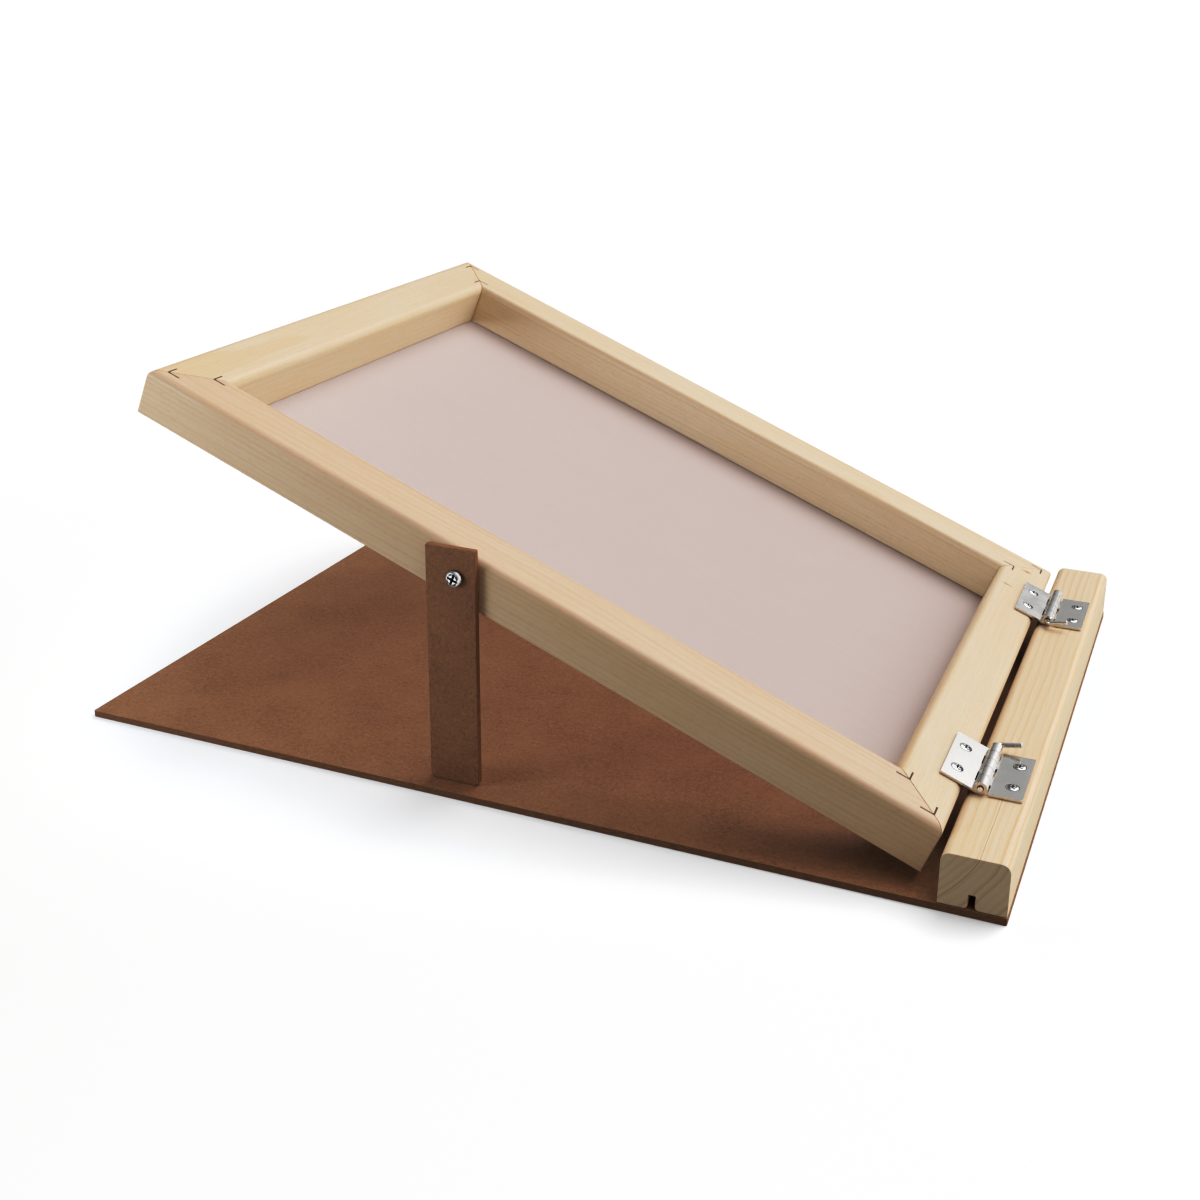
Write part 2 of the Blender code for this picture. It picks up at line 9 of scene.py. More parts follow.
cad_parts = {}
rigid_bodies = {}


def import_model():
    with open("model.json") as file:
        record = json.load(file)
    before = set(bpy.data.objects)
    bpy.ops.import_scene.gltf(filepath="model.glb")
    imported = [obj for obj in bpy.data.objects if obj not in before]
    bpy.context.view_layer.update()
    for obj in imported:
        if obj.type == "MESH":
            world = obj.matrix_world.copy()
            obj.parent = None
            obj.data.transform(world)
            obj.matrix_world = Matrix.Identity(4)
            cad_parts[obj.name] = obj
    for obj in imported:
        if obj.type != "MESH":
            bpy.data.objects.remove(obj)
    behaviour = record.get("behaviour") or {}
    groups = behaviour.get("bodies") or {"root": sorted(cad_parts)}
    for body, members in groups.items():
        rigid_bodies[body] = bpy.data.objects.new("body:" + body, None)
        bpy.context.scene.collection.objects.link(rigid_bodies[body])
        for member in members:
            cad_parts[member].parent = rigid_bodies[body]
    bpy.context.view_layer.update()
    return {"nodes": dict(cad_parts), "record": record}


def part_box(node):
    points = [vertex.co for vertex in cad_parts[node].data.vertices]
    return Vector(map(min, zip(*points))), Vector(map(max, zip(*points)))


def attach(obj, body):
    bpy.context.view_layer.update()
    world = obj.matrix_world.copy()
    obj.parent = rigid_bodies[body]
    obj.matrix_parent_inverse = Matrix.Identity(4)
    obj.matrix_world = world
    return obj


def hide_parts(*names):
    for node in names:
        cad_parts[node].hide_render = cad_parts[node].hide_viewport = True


MM = 0.001
LONG_EDGE = 0.1                         # metres: only edges that run along a rail are longer
RAILS = ("side_rail_front", "side_rail_back", "end_rail_free", "end_rail_hinge")
FRAME_TILT = math.radians(21.6)         # of the raised frame about its hinge
RAIL_AXIS = Vector((math.cos(FRAME_TILT), 0.0, -math.sin(FRAME_TILT)))
FRAME_UP = Vector((math.sin(FRAME_TILT), 0.0, math.cos(FRAME_TILT)))
ACROSS = Vector((0.0, 1.0, 0.0))
WORLD_X = Vector((1.0, 0.0, 0.0))
WORLD_Z = Vector((0.0, 0.0, 1.0))

# Cloth and cord, in millimetres in from the rails' outer faces or above their underside
MOUTH_END = 17.6                        # where the groove's eased inner lip meets the underside
MOUTH_RADIUS = 1.6
CLOTH_START = 0.6                       # from the lip's end to the edge of the cloth's flat run
CLOTH_LEVEL = -0.22
CLOTH_THICKNESS = 0.12
CLOTH_CUTS = 23                         # that divide each edge of the cloth along a rail
CLOTH_END_LEVEL = 0.6                   # of the hem beside the cord
CLOTH_OVER_CORD = 1.22                  # radius of the cloth's turn over the cord
THREAD_PITCH = 0.36
WEAVE_GLOW = 0.38                       # share of the cloth's look that is light from behind
WEAVE_OPEN = 0.97                       # share of a lamp's light that passes each face
CORD_INSET = 14.5
CORD_LEVEL = 1.9
CORD_RADIUS = 1.05
CORD_HOLLOW = 0.20                      # of the radius, between two strands
CORD_TURN = 1.5                         # radius of the cord's centre line at each corner
CORD_LAY = 6.0                          # length of one turn of the strands
CORD_STEP = 0.9
CORD_SIDES = 18

# Eased edges of the finished pieces, in millimetres
WOOD_EASE = 0.35
BOARD_EASE = 0.25
LEAF_EASE = 0.18
PIN_EASE = 0.25
SCREW_EASE = 0.06
NAIL_EASE = 0.05
WELD = 0.000001                         # metres, for the corners that CAD triangles share
FLAT_ANGLE = math.radians(0.5)          # faces that meet at less are one face
BEVEL_PROFILE = 0.6

# Painted shade on the metal, in millimetres
COUNTERSINK_RADIUS = 3.05
COUNTERSINK_DEPTH = -1.0                # counts faces up to 1 mm above the screw's crown too
RECESS_REACH = {"hinge": 1.95, "prop": 2.7, "base": 1.9}
RECESS_DEPTH = 0.12
PROP_HEAD_RIM = 3.7                     # outside this radius the pan head's rim gets painted shade
PROP_HEAD_REACH = 9.0
PROP_RIM_DEPTH = 0.3
CROWN_NEAR = 6.0                        # faces farther than this along the screw keep their look
BARREL_REACH = 3.4                      # of the hinge knuckles from the pin's axis
KNUCKLE_END = 0.5                       # from the barrel's open ends, which stay bright

RING_WANDER = 9.0                       # of the pith line, in millimetres
# Colours of bare pine: early wood by rail, and painted light and shade on its upright faces, tinted lighter
# or darker than its top for how light falls on them
WARM_PINE = (0.510, 0.368, 0.264)
PALE_PINE = (0.572, 0.434, 0.306)
BAR_PINE = (0.625, 0.475, 0.335)
OUTER_SIDES_PAINTED_LIGHT = (1.01, 1.04, 0.97)
INNER_SIDES_PAINTED_LIGHT = (1.22, 1.34, 1.40)
BACK_RAIL_SIDES_PAINTED_LIGHT = (1.38, 1.50, 1.56)
# Knots by the back hinge: along, across, length and width, in millimetres from the hinge's middle
KNOTS = ((133.5, -20.0, 3.4, 8.0), (103.5, -26.7, 2.2, 8.5))

# Colours of hardboard before each board's tone
BOARD_BASE = (0.215, 0.118, 0.070)
BOARD_PALE = (0.300, 0.172, 0.106)
BOARD_DEEP = (0.112, 0.054, 0.030)
# painted light: the base board's tone is raised above the leg's, of the same hardboard, to make up for the
# shade under the frame
BASE_BOARD_TONE_AND_PAINTED_LIGHT = (1.27, 1.25, 1.16)
PROP_LEG_TONE = (1.02, 0.94, 0.80)

NICKEL_LEAF = (0.66, 0.65, 0.63)
NICKEL_PIN = (0.82, 0.81, 0.79)
ZINC_SCREW = (0.64, 0.64, 0.64)

CAMERA_PLACE = (0.2871, -0.7212, 0.3635)
CAMERA_YAW = 0.375
CAMERA_PITCH = 0.312
CAMERA_ROLL = 0.018
CAMERA_LENS = 46.77
CAMERA_SHIFT = (-0.0417, -0.1125)

SKY_BANK = (0.75, 0.35, 0.55)           # the direction of the brightest sky
# The sky's brightness by how closely a direction points at the bank
SKY_LEVELS = ((0.0, 0.14), (0.20, 0.20), (0.44, 0.31), (0.47, 0.39), (0.56, 0.41), (0.66, 0.44),
              (0.70, 1.1), (0.76, 1.25), (1.0, 1.25))
SUN_FROM = (0.30, 0.55, 1.0)
SUN_STRENGTH = 1.50
SUN_SPREAD = math.radians(50)
LEFT_BOX_PLACE = (-0.50, -0.55, 0.24)
LEFT_BOX_AIM = (-0.15, -0.16, 0.15)
LEFT_BOX_SIZE = 0.3
LEFT_BOX_POWER = 2.1
LEFT_BOX_COLOUR = (0.90, 1.0, 1.10)
FLOOR_SIZE = 40.0
FLOOR_DROP = 0.0002                     # under the base board, so that the two faces don't meet
FLOOR_GLOW = 0.03

# The print's tone curve, from scene light to shown light
TONE_CURVE = ((0.083, 0.050), (0.167, 0.145), (0.25, 0.265), (0.375, 0.47), (0.5, 0.64), (0.667, 0.79),
              (0.78, 0.90), (0.87, 0.99))


# ---------------------------------------------------------------- shader helper

def tinted(colour, levels):
    return [value * level for value, level in zip(colour, levels)]


def set_stops(node, stops):
    """Give a colour ramp node its stops, each a position and a colour."""
    elements = node.color_ramp.elements
    while len(elements) < len(stops):
        elements.new(0.5)
    for element, (position, colour) in zip(elements, stops):
        element.position = position
        element.color = (*colour, 1.0)


class Shader:
    """Adds nodes to one material's tree and wires them to its Principled BSDF."""

    def __init__(self, name):
        self.material = bpy.data.materials.new(name)
        self.material.use_nodes = True
        self.nodes = self.material.node_tree.nodes
        self.links = self.material.node_tree.links
        self.surface = self.nodes["Principled BSDF"]

    def put(self, socket, value):
        if isinstance(value, bpy.types.NodeSocket):
            self.links.new(value, socket)
        elif value is not None:
            socket.default_value = value

    def add(self, kind, inputs=(), output=0, **settings):
        node = self.nodes.new(kind)
        for key, value in settings.items():
            setattr(node, key, value)
        for key, value in dict(inputs).items():
            self.put(node.inputs[key], value)
        return node.outputs[output]

    def math(self, operation, first, second=None, third=None, clamp=False):
        inputs = {0: first, 1: second, 2: third}
        return self.add("ShaderNodeMath", inputs, operation=operation, use_clamp=clamp)

    def vector(self, operation, first, second=None, output=0):
        return self.add("ShaderNodeVectorMath", {0: first, 1: second}, output, operation=operation)

    def noise(self, vector, scale, detail=2.0, roughness=0.5, distortion=0.0, output=0):
        inputs = {"Vector": vector, "Scale": scale, "Detail": detail,
                  "Roughness": roughness, "Distortion": distortion}
        return self.add("ShaderNodeTexNoise", inputs, output)

    def grey(self, value, *stops):
        """A level that follows value through stops, each a position and a level."""
        node = self.nodes.new("ShaderNodeValToRGB")
        set_stops(node, [(position, (level,) * 3) for position, level in stops])
        self.links.new(value, node.inputs[0])
        return node.outputs[0]

    def mix(self, factor, first, second, blend="MIX"):
        node = self.nodes.new("ShaderNodeMix")
        node.data_type = "RGBA"
        node.blend_type = blend
        self.put(node.inputs["Factor"], factor)
        for key, value in (("A", first), ("B", second)):
            socket = [item for item in node.inputs if item.name == key and item.type == "RGBA"][0]
            if not isinstance(value, bpy.types.NodeSocket) and len(value) == 3:
                value = (*value, 1.0)
            self.put(socket, value)
        return [item for item in node.outputs if item.type == "RGBA"][0]

    def bump(self, height, strength, distance, normal=None):
        return self.add("ShaderNodeBump", {"Height": height, "Strength": strength,
                                           "Distance": distance, "Normal": normal})

    def axes(self, origin, along, across, up):
        """Separate sockets, in millimetres, for the position along three directions."""
        point = self.vector("SUBTRACT", self.add("ShaderNodeTexCoord", output="Object"), tuple(origin))
        sockets = []
        for direction in (along, across, up):
            sockets.append(self.vector("DOT_PRODUCT", point, tuple(direction * 1000.0), "Value"))
        return sockets

    def combine(self, x, y, z):
        return self.add("ShaderNodeCombineXYZ", {0: x, 1: y, 2: z})

    def scaled(self, sockets, factors, seed=0.0):
        """A vector from three sockets, each times its factor, moved by a seed."""
        parts = [self.math("MULTIPLY_ADD", socket, factor, seed) for socket, factor in zip(sockets, factors)]
        return self.combine(*parts)

    def let_light_through(self, glow):
        """The weave glows with the light behind it, and lamp light passes its openings."""
        behind = self.add("ShaderNodeBsdfTranslucent", {"Color": glow})
        cloth = self.add("ShaderNodeMixShader", {0: WEAVE_GLOW, 1: self.surface.outputs[0], 2: behind})
        shadow = self.add("ShaderNodeLightPath", output="Is Shadow Ray")
        passed = self.math("MULTIPLY", shadow, WEAVE_OPEN)
        clear = self.add("ShaderNodeBsdfTransparent")
        both = self.add("ShaderNodeMixShader", {0: passed, 1: cloth, 2: clear})
        self.links.new(both, self.nodes["Material Output"].inputs["Surface"])

    def finish(self, colour, roughness, metallic=0.0, normal=None):
        self.put(self.surface.inputs["Base Color"], colour)
        self.put(self.surface.inputs["Roughness"], roughness)
        self.surface.inputs["Metallic"].default_value = metallic
        if normal is not None:
            self.put(self.surface.inputs["Normal"], normal)
        return self.material


# ---------------------------------------------------------------- materials

def growth_rings(shader, place, pith, spacing, seed):
    """The distance from the wandering pith line, and how much each point is late wood."""
    _, side, height = place
    slow = shader.noise(shader.scaled(place, (0.006, 0.02, 0.02), seed), 1.0, 2.0, output="Color")
    drift = shader.vector("SCALE", shader.vector("SUBTRACT", slow, (0.5, 0.5, 0.5)))
    drift.node.inputs["Scale"].default_value = RING_WANDER
    wander = shader.add("ShaderNodeSeparateXYZ", {0: drift})
    wander_up = wander.node.outputs[1]
    from_pith = shader.math("SUBTRACT", shader.math("ADD", side, wander), pith[0])
    over_pith = shader.math("SUBTRACT", shader.math("ADD", height, wander_up), pith[1])
    squares = shader.math("ADD", shader.math("MULTIPLY", from_pith, from_pith),
                          shader.math("MULTIPLY", over_pith, over_pith))
    distance = shader.math("SQRT", squares)

    swell = shader.noise(shader.scaled(place, (0.002, 0.05, 0.05), seed + 7.3), 1.0, 1.0)
    phase = shader.math("MULTIPLY_ADD", swell, 1.2, shader.math("DIVIDE", distance, spacing))
    ring = shader.grey(shader.math("FRACT", phase),
                       (0.0, 0.0), (0.45, 0.12), (0.84, 1.0), (0.93, 0.85), (1.0, 0.0))
    strength = shader.noise(shader.combine(shader.math("FLOOR", phase), seed, 0.5), 3.1, 0.0)
    late = shader.math("MULTIPLY", ring, shader.grey(strength, (0.3, 0.25), (0.7, 1.0)))
    return distance, late


def long_grain(shader, place, seed, tone, late, contrast, fibre):
    """The colour of the planed faces: rings, blotches, fibres and short dark flecks."""
    blotch = shader.noise(shader.scaled(place, (0.012, 0.06, 0.06), seed + 3.1), 1.0, 3.0, 0.55)
    fleck = shader.noise(shader.scaled(place, (0.35, 3.4, 3.4), seed + 1.7), 1.0, 2.0, 0.7)
    colour = shader.mix(shader.math("MULTIPLY", late, contrast), tone, tinted(tone, (0.88, 0.73, 0.57)))
    colour = shader.mix(shader.grey(blotch, (0.35, 0.0), (0.68, 0.50)), colour,
                        tinted(tone, (0.97, 0.88, 0.76)))
    colour = shader.mix(shader.grey(fibre, (0.38, 0.25), (0.62, 0.0)), colour,
                        tinted(tone, (0.78, 0.68, 0.56)))
    return shader.mix(shader.grey(fleck, (0.58, 0.0), (0.70, 0.45)), colour,
                      tinted(tone, (0.66, 0.54, 0.42)))


def end_grain(shader, place, seed, tone, late):
    """The colour of the sawn ends: closer in tone than the long faces, and full of pores."""
    pores = shader.noise(shader.scaled(place, (3.0, 3.0, 3.0), seed), 1.0, 3.0, 0.7)
    colour = shader.mix(late, tinted(tone, (0.88, 0.88, 0.84)), tinted(tone, (0.70, 0.66, 0.60)))
    return shader.mix(shader.grey(pores, (0.40, 0.35), (0.60, 0.0)), colour,
                      tinted(tone, (0.46, 0.40, 0.34)))


def pine(name, origin, along, across, up, pith, spacing, seed, tone, side_painted_light, contrast, knots=(),
         check=None):
    """Bare pine as a solid: growth rings round a pith line parallel to the grain.

    pith is (across, up) and spacing the ring width, in millimetres from origin.
    tone is the colour of the early wood, the side tone multiplies it on upright
    faces as painted light and shade, and contrast is the strength of the late
    wood. knots are (along, across, length, width) on the top face, and check is
    (ring distance, length) of a fine drying crack from the start.
    """
    shader = Shader(name)
    place = shader.axes(origin, along, across, up)
    distance, late = growth_rings(shader, place, pith, spacing, seed)
    fibre = shader.noise(shader.scaled(place, (0.035, 2.6, 2.6), seed), 1.0, 4.0, 0.6)
    colour = long_grain(shader, place, seed, tone, late, contrast, fibre)

    surface = shader.add("ShaderNodeTexCoord", output="Normal")
    # painted light and shade: upright faces are tinted lighter or darker than the top, as light falls on
    # them
    upward = shader.math("ABSOLUTE", shader.vector("DOT_PRODUCT", surface, tuple(up), "Value"))
    upright = shader.grey(upward, (0.15, 1.0), (0.75, 0.0))
    colour = shader.mix(upright, colour, shader.mix(1.0, colour, side_painted_light, "MULTIPLY"))
    facing = shader.vector("DOT_PRODUCT", surface, tuple(along), "Value")
    sawn = shader.grey(shader.math("ABSOLUTE", facing), (0.75, 0.0), (0.92, 1.0))
    colour = shader.mix(sawn, colour, end_grain(shader, place, seed, tone, late))

    for start, level, length, width in knots:
        colour = knot(shader, colour, place, start, level, length, width)
    if check:
        colour = drying_check(shader, colour, distance, place[0], check)

    roughness = shader.grey(fibre, (0.3, 0.62), (0.7, 0.46))
    relief = shader.math("MULTIPLY_ADD", late, 0.5, shader.math("MULTIPLY", fibre, 0.8))
    return shader.finish(colour, roughness, normal=shader.bump(relief, 0.35, 0.06 * MM))


def knot(shader, colour, place, start, level, length, width):
    """A small elongated resin knot, darkest at its middle."""
    run, side, _ = place
    wobble = shader.noise(shader.scaled(place, (0.8, 0.8, 0.8)), 1.0, 2.0)
    along = shader.math("DIVIDE", shader.math("SUBTRACT", run, start), length / 2)
    across = shader.math("DIVIDE", shader.math("SUBTRACT", side, level), width / 2)
    reach = shader.math("SQRT", shader.math("ADD", shader.math("MULTIPLY", along, along),
                                            shader.math("MULTIPLY", across, across)))
    reach = shader.math("ADD", reach, shader.math("MULTIPLY_ADD", wobble, 0.8, -0.4))
    colour = shader.mix(shader.grey(reach, (0.45, 0.80), (1.15, 0.0)), colour, (0.460, 0.250, 0.100))
    return shader.mix(shader.grey(reach, (0.20, 0.85), (0.65, 0.0)), colour, (0.170, 0.070, 0.025))


def drying_check(shader, colour, distance, run, check):
    """A hairline crack that follows one growth ring in from the start of the wood."""
    ring_distance, length = check
    gap = shader.math("ABSOLUTE", shader.math("SUBTRACT", distance, ring_distance))
    line = shader.grey(gap, (0.05, 1.0), (0.22, 0.0))
    fade = shader.grey(shader.math("DIVIDE", run, length), (0.6, 0.75), (1.0, 0.0))
    return shader.mix(shader.math("MULTIPLY", line, fade), colour, (0.200, 0.120, 0.060))


def hardboard(name, origin, face, tone, edge_level):
    """Pressed fibre board with flecks, layered and rougher on its cut edges.

    face is the direction its broad side faces, tone multiplies its colours, and
    edge_level multiplies those of the cut edges again.
    """
    shader = Shader(name)
    across = Vector((face.y, face.z, face.x))
    along = face.cross(across)
    place = shader.axes(origin, along, across, face)
    cloud = shader.noise(shader.scaled(place, (0.03, 0.03, 0.03)), 1.0, 3.0, 0.6)
    mat = shader.noise(shader.scaled(place, (0.55, 0.55, 0.55)), 1.0, 6.0, 0.85, 0.8)
    fleck = shader.noise(shader.scaled(place, (0.45, 0.70, 0.55), 4.2), 1.0, 3.0, 0.7)
    light_fleck = shader.noise(shader.scaled(place, (0.60, 0.45, 0.55), 9.1), 1.0, 3.0, 0.7)

    base = tinted(BOARD_BASE, tone)
    pale = tinted(BOARD_PALE, tone)
    deep = tinted(BOARD_DEEP, tone)
    colour = shader.mix(shader.grey(mat, (0.36, 0.0), (0.66, 1.0)), deep, pale)
    colour = shader.mix(0.30, colour, base)
    colour = shader.mix(shader.grey(cloud, (0.35, 0.0), (0.70, 0.35)), colour, pale)
    colour = shader.mix(shader.grey(fleck, (0.62, 0.0), (0.70, 0.85)), colour, deep)
    colour = shader.mix(shader.grey(light_fleck, (0.64, 0.0), (0.74, 0.6)), colour, pale)

    surface = shader.add("ShaderNodeTexCoord", output="Normal")
    facing = shader.vector("DOT_PRODUCT", surface, tuple(face), "Value")
    edge = shader.grey(shader.math("ABSOLUTE", facing), (0.3, 1.0), (0.8, 0.0))
    layers = shader.noise(shader.scaled(place, (0.25, 0.25, 5.0)), 1.0, 3.0, 0.6)
    edge_colour = shader.mix(shader.grey(layers, (0.35, 0.0), (0.65, 1.0)),
                             tinted(deep, (edge_level,) * 3), tinted(base, (edge_level,) * 3))
    colour = shader.mix(edge, colour, edge_colour)
    roughness = shader.math("ADD", shader.grey(mat, (0.3, 0.50), (0.7, 0.62)),
                            shader.math("MULTIPLY", edge, 0.25))
    relief = shader.math("MULTIPLY_ADD", edge, shader.math("MULTIPLY", layers, 2.0), mat)
    shader.surface.inputs["Specular IOR Level"].default_value = 0.3
    return shader.finish(colour, roughness, normal=shader.bump(relief, 0.35, 0.05 * MM))


def plated(name, colour, roughness, grain):
    """Bright plated steel with fine rolling marks along grain and faint smudges."""
    shader = Shader(name)
    across = grain.cross(WORLD_Z if abs(grain.z) < 0.5 else WORLD_X).normalized()
    place = shader.axes((0, 0, 0), grain, across, grain.cross(across))
    marks = shader.noise(shader.scaled(place, (0.15, 9.0, 9.0)), 1.0, 3.0, 0.6)
    smudge = shader.noise(shader.scaled(place, (0.12, 0.12, 0.12), 5.5), 1.0, 3.0, 0.6)
    tint = shader.mix(shader.grey(smudge, (0.35, 0.0), (0.75, 0.6)), colour, tinted(colour, (0.88,) * 3))
    rough = shader.math("ADD", shader.grey(smudge, (0.3, roughness), (0.7, roughness + 0.12)),
                        shader.math("MULTIPLY_ADD", marks, 0.08, -0.04))
    return shader.finish(tint, rough, 1.0, shader.bump(marks, 0.06, 0.01 * MM))


def shadowed_steel():
    """Painted shade: dark steel put inside screw recesses and countersinks, between knuckles and on the prop
    screw's rim.
    """
    shader = Shader("recess_steel")
    place = shader.axes((0, 0, 0), WORLD_X, ACROSS, WORLD_Z)
    shade_mottle = shader.noise(shader.scaled(place, (2.5, 2.5, 2.5)), 1.0, 3.0, 0.6)
    colour = shader.mix(shade_mottle, (0.050, 0.046, 0.050), (0.110, 0.100, 0.100))
    return shader.finish(colour, shader.grey(shade_mottle, (0.3, 0.50), (0.7, 0.70)), 0.3,
                         shader.bump(shade_mottle, 0.3, 0.03 * MM))


def dark_steel():
    """Bare steel of the V-nails, with brown stains."""
    shader = Shader("nail_steel")
    place = shader.axes((0, 0, 0), WORLD_X, ACROSS, WORLD_Z)
    stain = shader.noise(shader.scaled(place, (0.9, 0.9, 0.9)), 1.0, 3.0, 0.6)
    colour = shader.mix(stain, (0.060, 0.048, 0.040), (0.140, 0.120, 0.105))
    return shader.finish(colour, shader.grey(stain, (0.3, 0.45), (0.7, 0.65)), 0.7,
                         shader.bump(stain, 0.3, 0.03 * MM))


def screen_cloth(origin):
    """Fine woven monofilament, pale lilac grey, with its threads along the frame's own axes."""
    shader = Shader("screen_weave")
    place = shader.axes(origin, RAIL_AXIS, ACROSS, FRAME_UP)
    threads = []
    for socket in place[:2]:
        turns = shader.math("MULTIPLY", socket, 2 * math.pi / THREAD_PITCH)
        threads.append(shader.math("MULTIPLY_ADD", shader.math("COSINE", turns), 0.5, 0.5))
    weave = shader.math("MAXIMUM", threads[0], threads[1])
    slub = shader.noise(shader.scaled(place, (0.02, 3.0, 0.02)), 1.0, 3.0, 0.6)
    cloud = shader.noise(shader.scaled(place, (0.01, 0.01, 0.01), 2.0), 1.0, 2.0)
    colour = shader.mix(shader.grey(weave, (0.1, 0.0), (0.8, 1.0)),
                        (0.450, 0.380, 0.357), (0.620, 0.536, 0.508))
    colour = shader.mix(shader.grey(slub, (0.45, 0.12), (0.65, 0.0)), colour, (0.408, 0.343, 0.325))
    colour = shader.mix(shader.grey(cloud, (0.4, 0.0), (0.7, 0.15)), colour, (0.552, 0.464, 0.442))
    material = shader.finish(colour, 0.72, normal=shader.bump(weave, 0.25, 0.03 * MM))
    shader.let_light_through(colour)
    return material


def cotton(name):
    """Undyed cotton, with the fine slant of its twisted yarns."""
    shader = Shader(name)
    place = shader.axes((0, 0, 0), RAIL_AXIS, ACROSS, FRAME_UP)
    diagonal = shader.math("ADD", shader.math("ADD", place[0], place[1]), place[2])
    strand = shader.math("SINE", shader.math("MULTIPLY", diagonal, 5.0))
    lint = shader.noise(shader.scaled(place, (2.0, 2.0, 2.0)), 1.0, 3.0, 0.6)
    level = shader.math("MULTIPLY_ADD", strand, 0.25, lint)
    colour = shader.mix(shader.grey(level, (0.25, 0.0), (0.75, 1.0)),
                        (0.430, 0.400, 0.350), (0.760, 0.730, 0.670))
    return shader.finish(colour, 0.9, normal=shader.bump(strand, 0.6, 0.15 * MM))


# ---------------------------------------------------------------- pieces made from the CAD nodes

def hinge_axis():
    """A point on the axis that the frame turns about."""
    joints = frame["record"]["behaviour"]["joints"]
    return Vector(next(item["pos_m"] for item in joints if item["name"] == "frame_hinge"))


def body_of(node):
    return frame["nodes"][node].parent.name.removeprefix("body:")


def new_piece(name, bm, material, smooth_angle):
    """An object from bm, shaded smooth but for edges sharper than smooth_angle degrees."""
    mesh = bpy.data.meshes.new(name)
    bm.to_mesh(mesh)
    bm.free()
    mesh.shade_smooth()
    mesh.set_sharp_from_angle(angle=math.radians(smooth_angle))
    mesh.materials.append(material)
    piece = bpy.data.objects.new(name, mesh)
    bpy.context.collection.objects.link(piece)
    level = piece.modifiers.new("level", "WEIGHTED_NORMAL")
    level.keep_sharp = True
    return piece


def refine(node, material, edge, smooth_angle=35.0, segments=2):
    """Replace a CAD node by the same shape with its arrises eased by edge millimetres."""
    bm = bmesh.new()
    bm.from_mesh(frame["nodes"][node].data)
    bmesh.ops.remove_doubles(bm, verts=bm.verts, dist=WELD)
    bmesh.ops.dissolve_limit(bm, angle_limit=FLAT_ANGLE, verts=bm.verts, edges=bm.edges)
    sharp = [item for item in bm.edges if item.calc_face_angle(0.0) > math.radians(smooth_angle)]
    bmesh.ops.bevel(bm, geom=sharp, offset=edge * MM, offset_type="OFFSET", segments=segments,
                    profile=BEVEL_PROFILE, affect="EDGES", clamp_overlap=True)
    bmesh.ops.triangulate(bm, faces=[face for face in bm.faces if len(face.verts) > 4])
    piece = new_piece(node + "_finished", bm, material, smooth_angle + 10.0)
    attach(piece, body_of(node))
    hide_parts(node)
    return piece


def screw_axis(node):
    """The screw's centre and the direction its head faces."""
    low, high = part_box(node)
    if node.startswith("prop"):
        return (low + high) / 2, -ACROSS
    if node.startswith("base"):
        return (low + high) / 2, -WORLD_Z
    return (low + high) / 2, WORLD_Z if "_bar_" in node else FRAME_UP


def darken(piece, material, screws, reach, depth, beyond=0.0):
    """Give the painted-shade material to faces round the screws that lie depth or more below their crowns.

    They lie within reach of the screw's axis, and not within beyond of it.
    """
    if len(piece.data.materials) == 1:
        piece.data.materials.append(material)
    for screw in screws:
        centre, outward = screw_axis(screw)
        crown = max((corner.co - centre).dot(outward) for corner in frame["nodes"][screw].data.vertices)
        for face in piece.data.polygons:
            offset = face.center - centre
            level = offset.dot(outward)
            radial = (offset - outward * level).length
            near = beyond * MM <= radial < reach * MM
            if near and level < crown - depth * MM and abs(level - crown) < CROWN_NEAR * MM:
                face.material_index = 1


def darken_gaps(leaf, node):
    """Give a hinge leaf's painted-shade material to the ends of its knuckles that face another knuckle."""
    axis = hinge_axis()
    low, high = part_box("hinge_leaf_frame_" + node.rsplit("_", 1)[1])
    for face in leaf.data.polygons:
        offset = face.center - axis
        between = low.y + KNUCKLE_END * MM < face.center.y < high.y - KNUCKLE_END * MM
        in_barrel = math.hypot(offset.x, offset.z) < BARREL_REACH * MM
        if between and in_barrel and abs(face.normal.y) > 0.7:
            face.material_index = 1


def make_wood():
    """The rails and the hinge bar, each cut from its own length of pine."""
    hinge = hinge_axis()
    side = dict(along=RAIL_AXIS, across=ACROSS, up=FRAME_UP)
    end = dict(along=ACROSS, across=RAIL_AXIS, up=FRAME_UP)
    # the side tones are painted light and shade on the upright faces of each rail and the bar
    woods = {
        "side_rail_front": pine("pine_front", hinge, pith=(-190.0, -75.0), spacing=2.3, seed=11.0,
                                tone=WARM_PINE, side_painted_light=OUTER_SIDES_PAINTED_LIGHT, contrast=0.7, **side),
        "side_rail_back": pine("pine_back", hinge, pith=(128.0, -60.0), spacing=2.6, seed=23.0,
                               tone=PALE_PINE, side_painted_light=BACK_RAIL_SIDES_PAINTED_LIGHT, contrast=0.6, **side),
        "end_rail_free": pine("pine_free", hinge, pith=(-408.0, -90.0), spacing=3.6, seed=37.0,
                              tone=PALE_PINE, side_painted_light=INNER_SIDES_PAINTED_LIGHT, contrast=0.5, **end),
        "end_rail_hinge": pine("pine_hinge", hinge, pith=(-26.0, -110.0), spacing=4.5, seed=41.0,
                               tone=PALE_PINE, side_painted_light=INNER_SIDES_PAINTED_LIGHT, contrast=0.45, knots=KNOTS,
                               **end)}
    low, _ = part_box("hinge_bar")
    woods["hinge_bar"] = pine("pine_bar", Vector(low), ACROSS, WORLD_X, WORLD_Z, pith=(-56.3, 57.4),
                              spacing=3.2, seed=53.0, tone=BAR_PINE, side_painted_light=OUTER_SIDES_PAINTED_LIGHT,
                              contrast=1.15, check=(79.1, 80.0))
    for node, material in woods.items():
        refine(node, material, WOOD_EASE, 30.0)


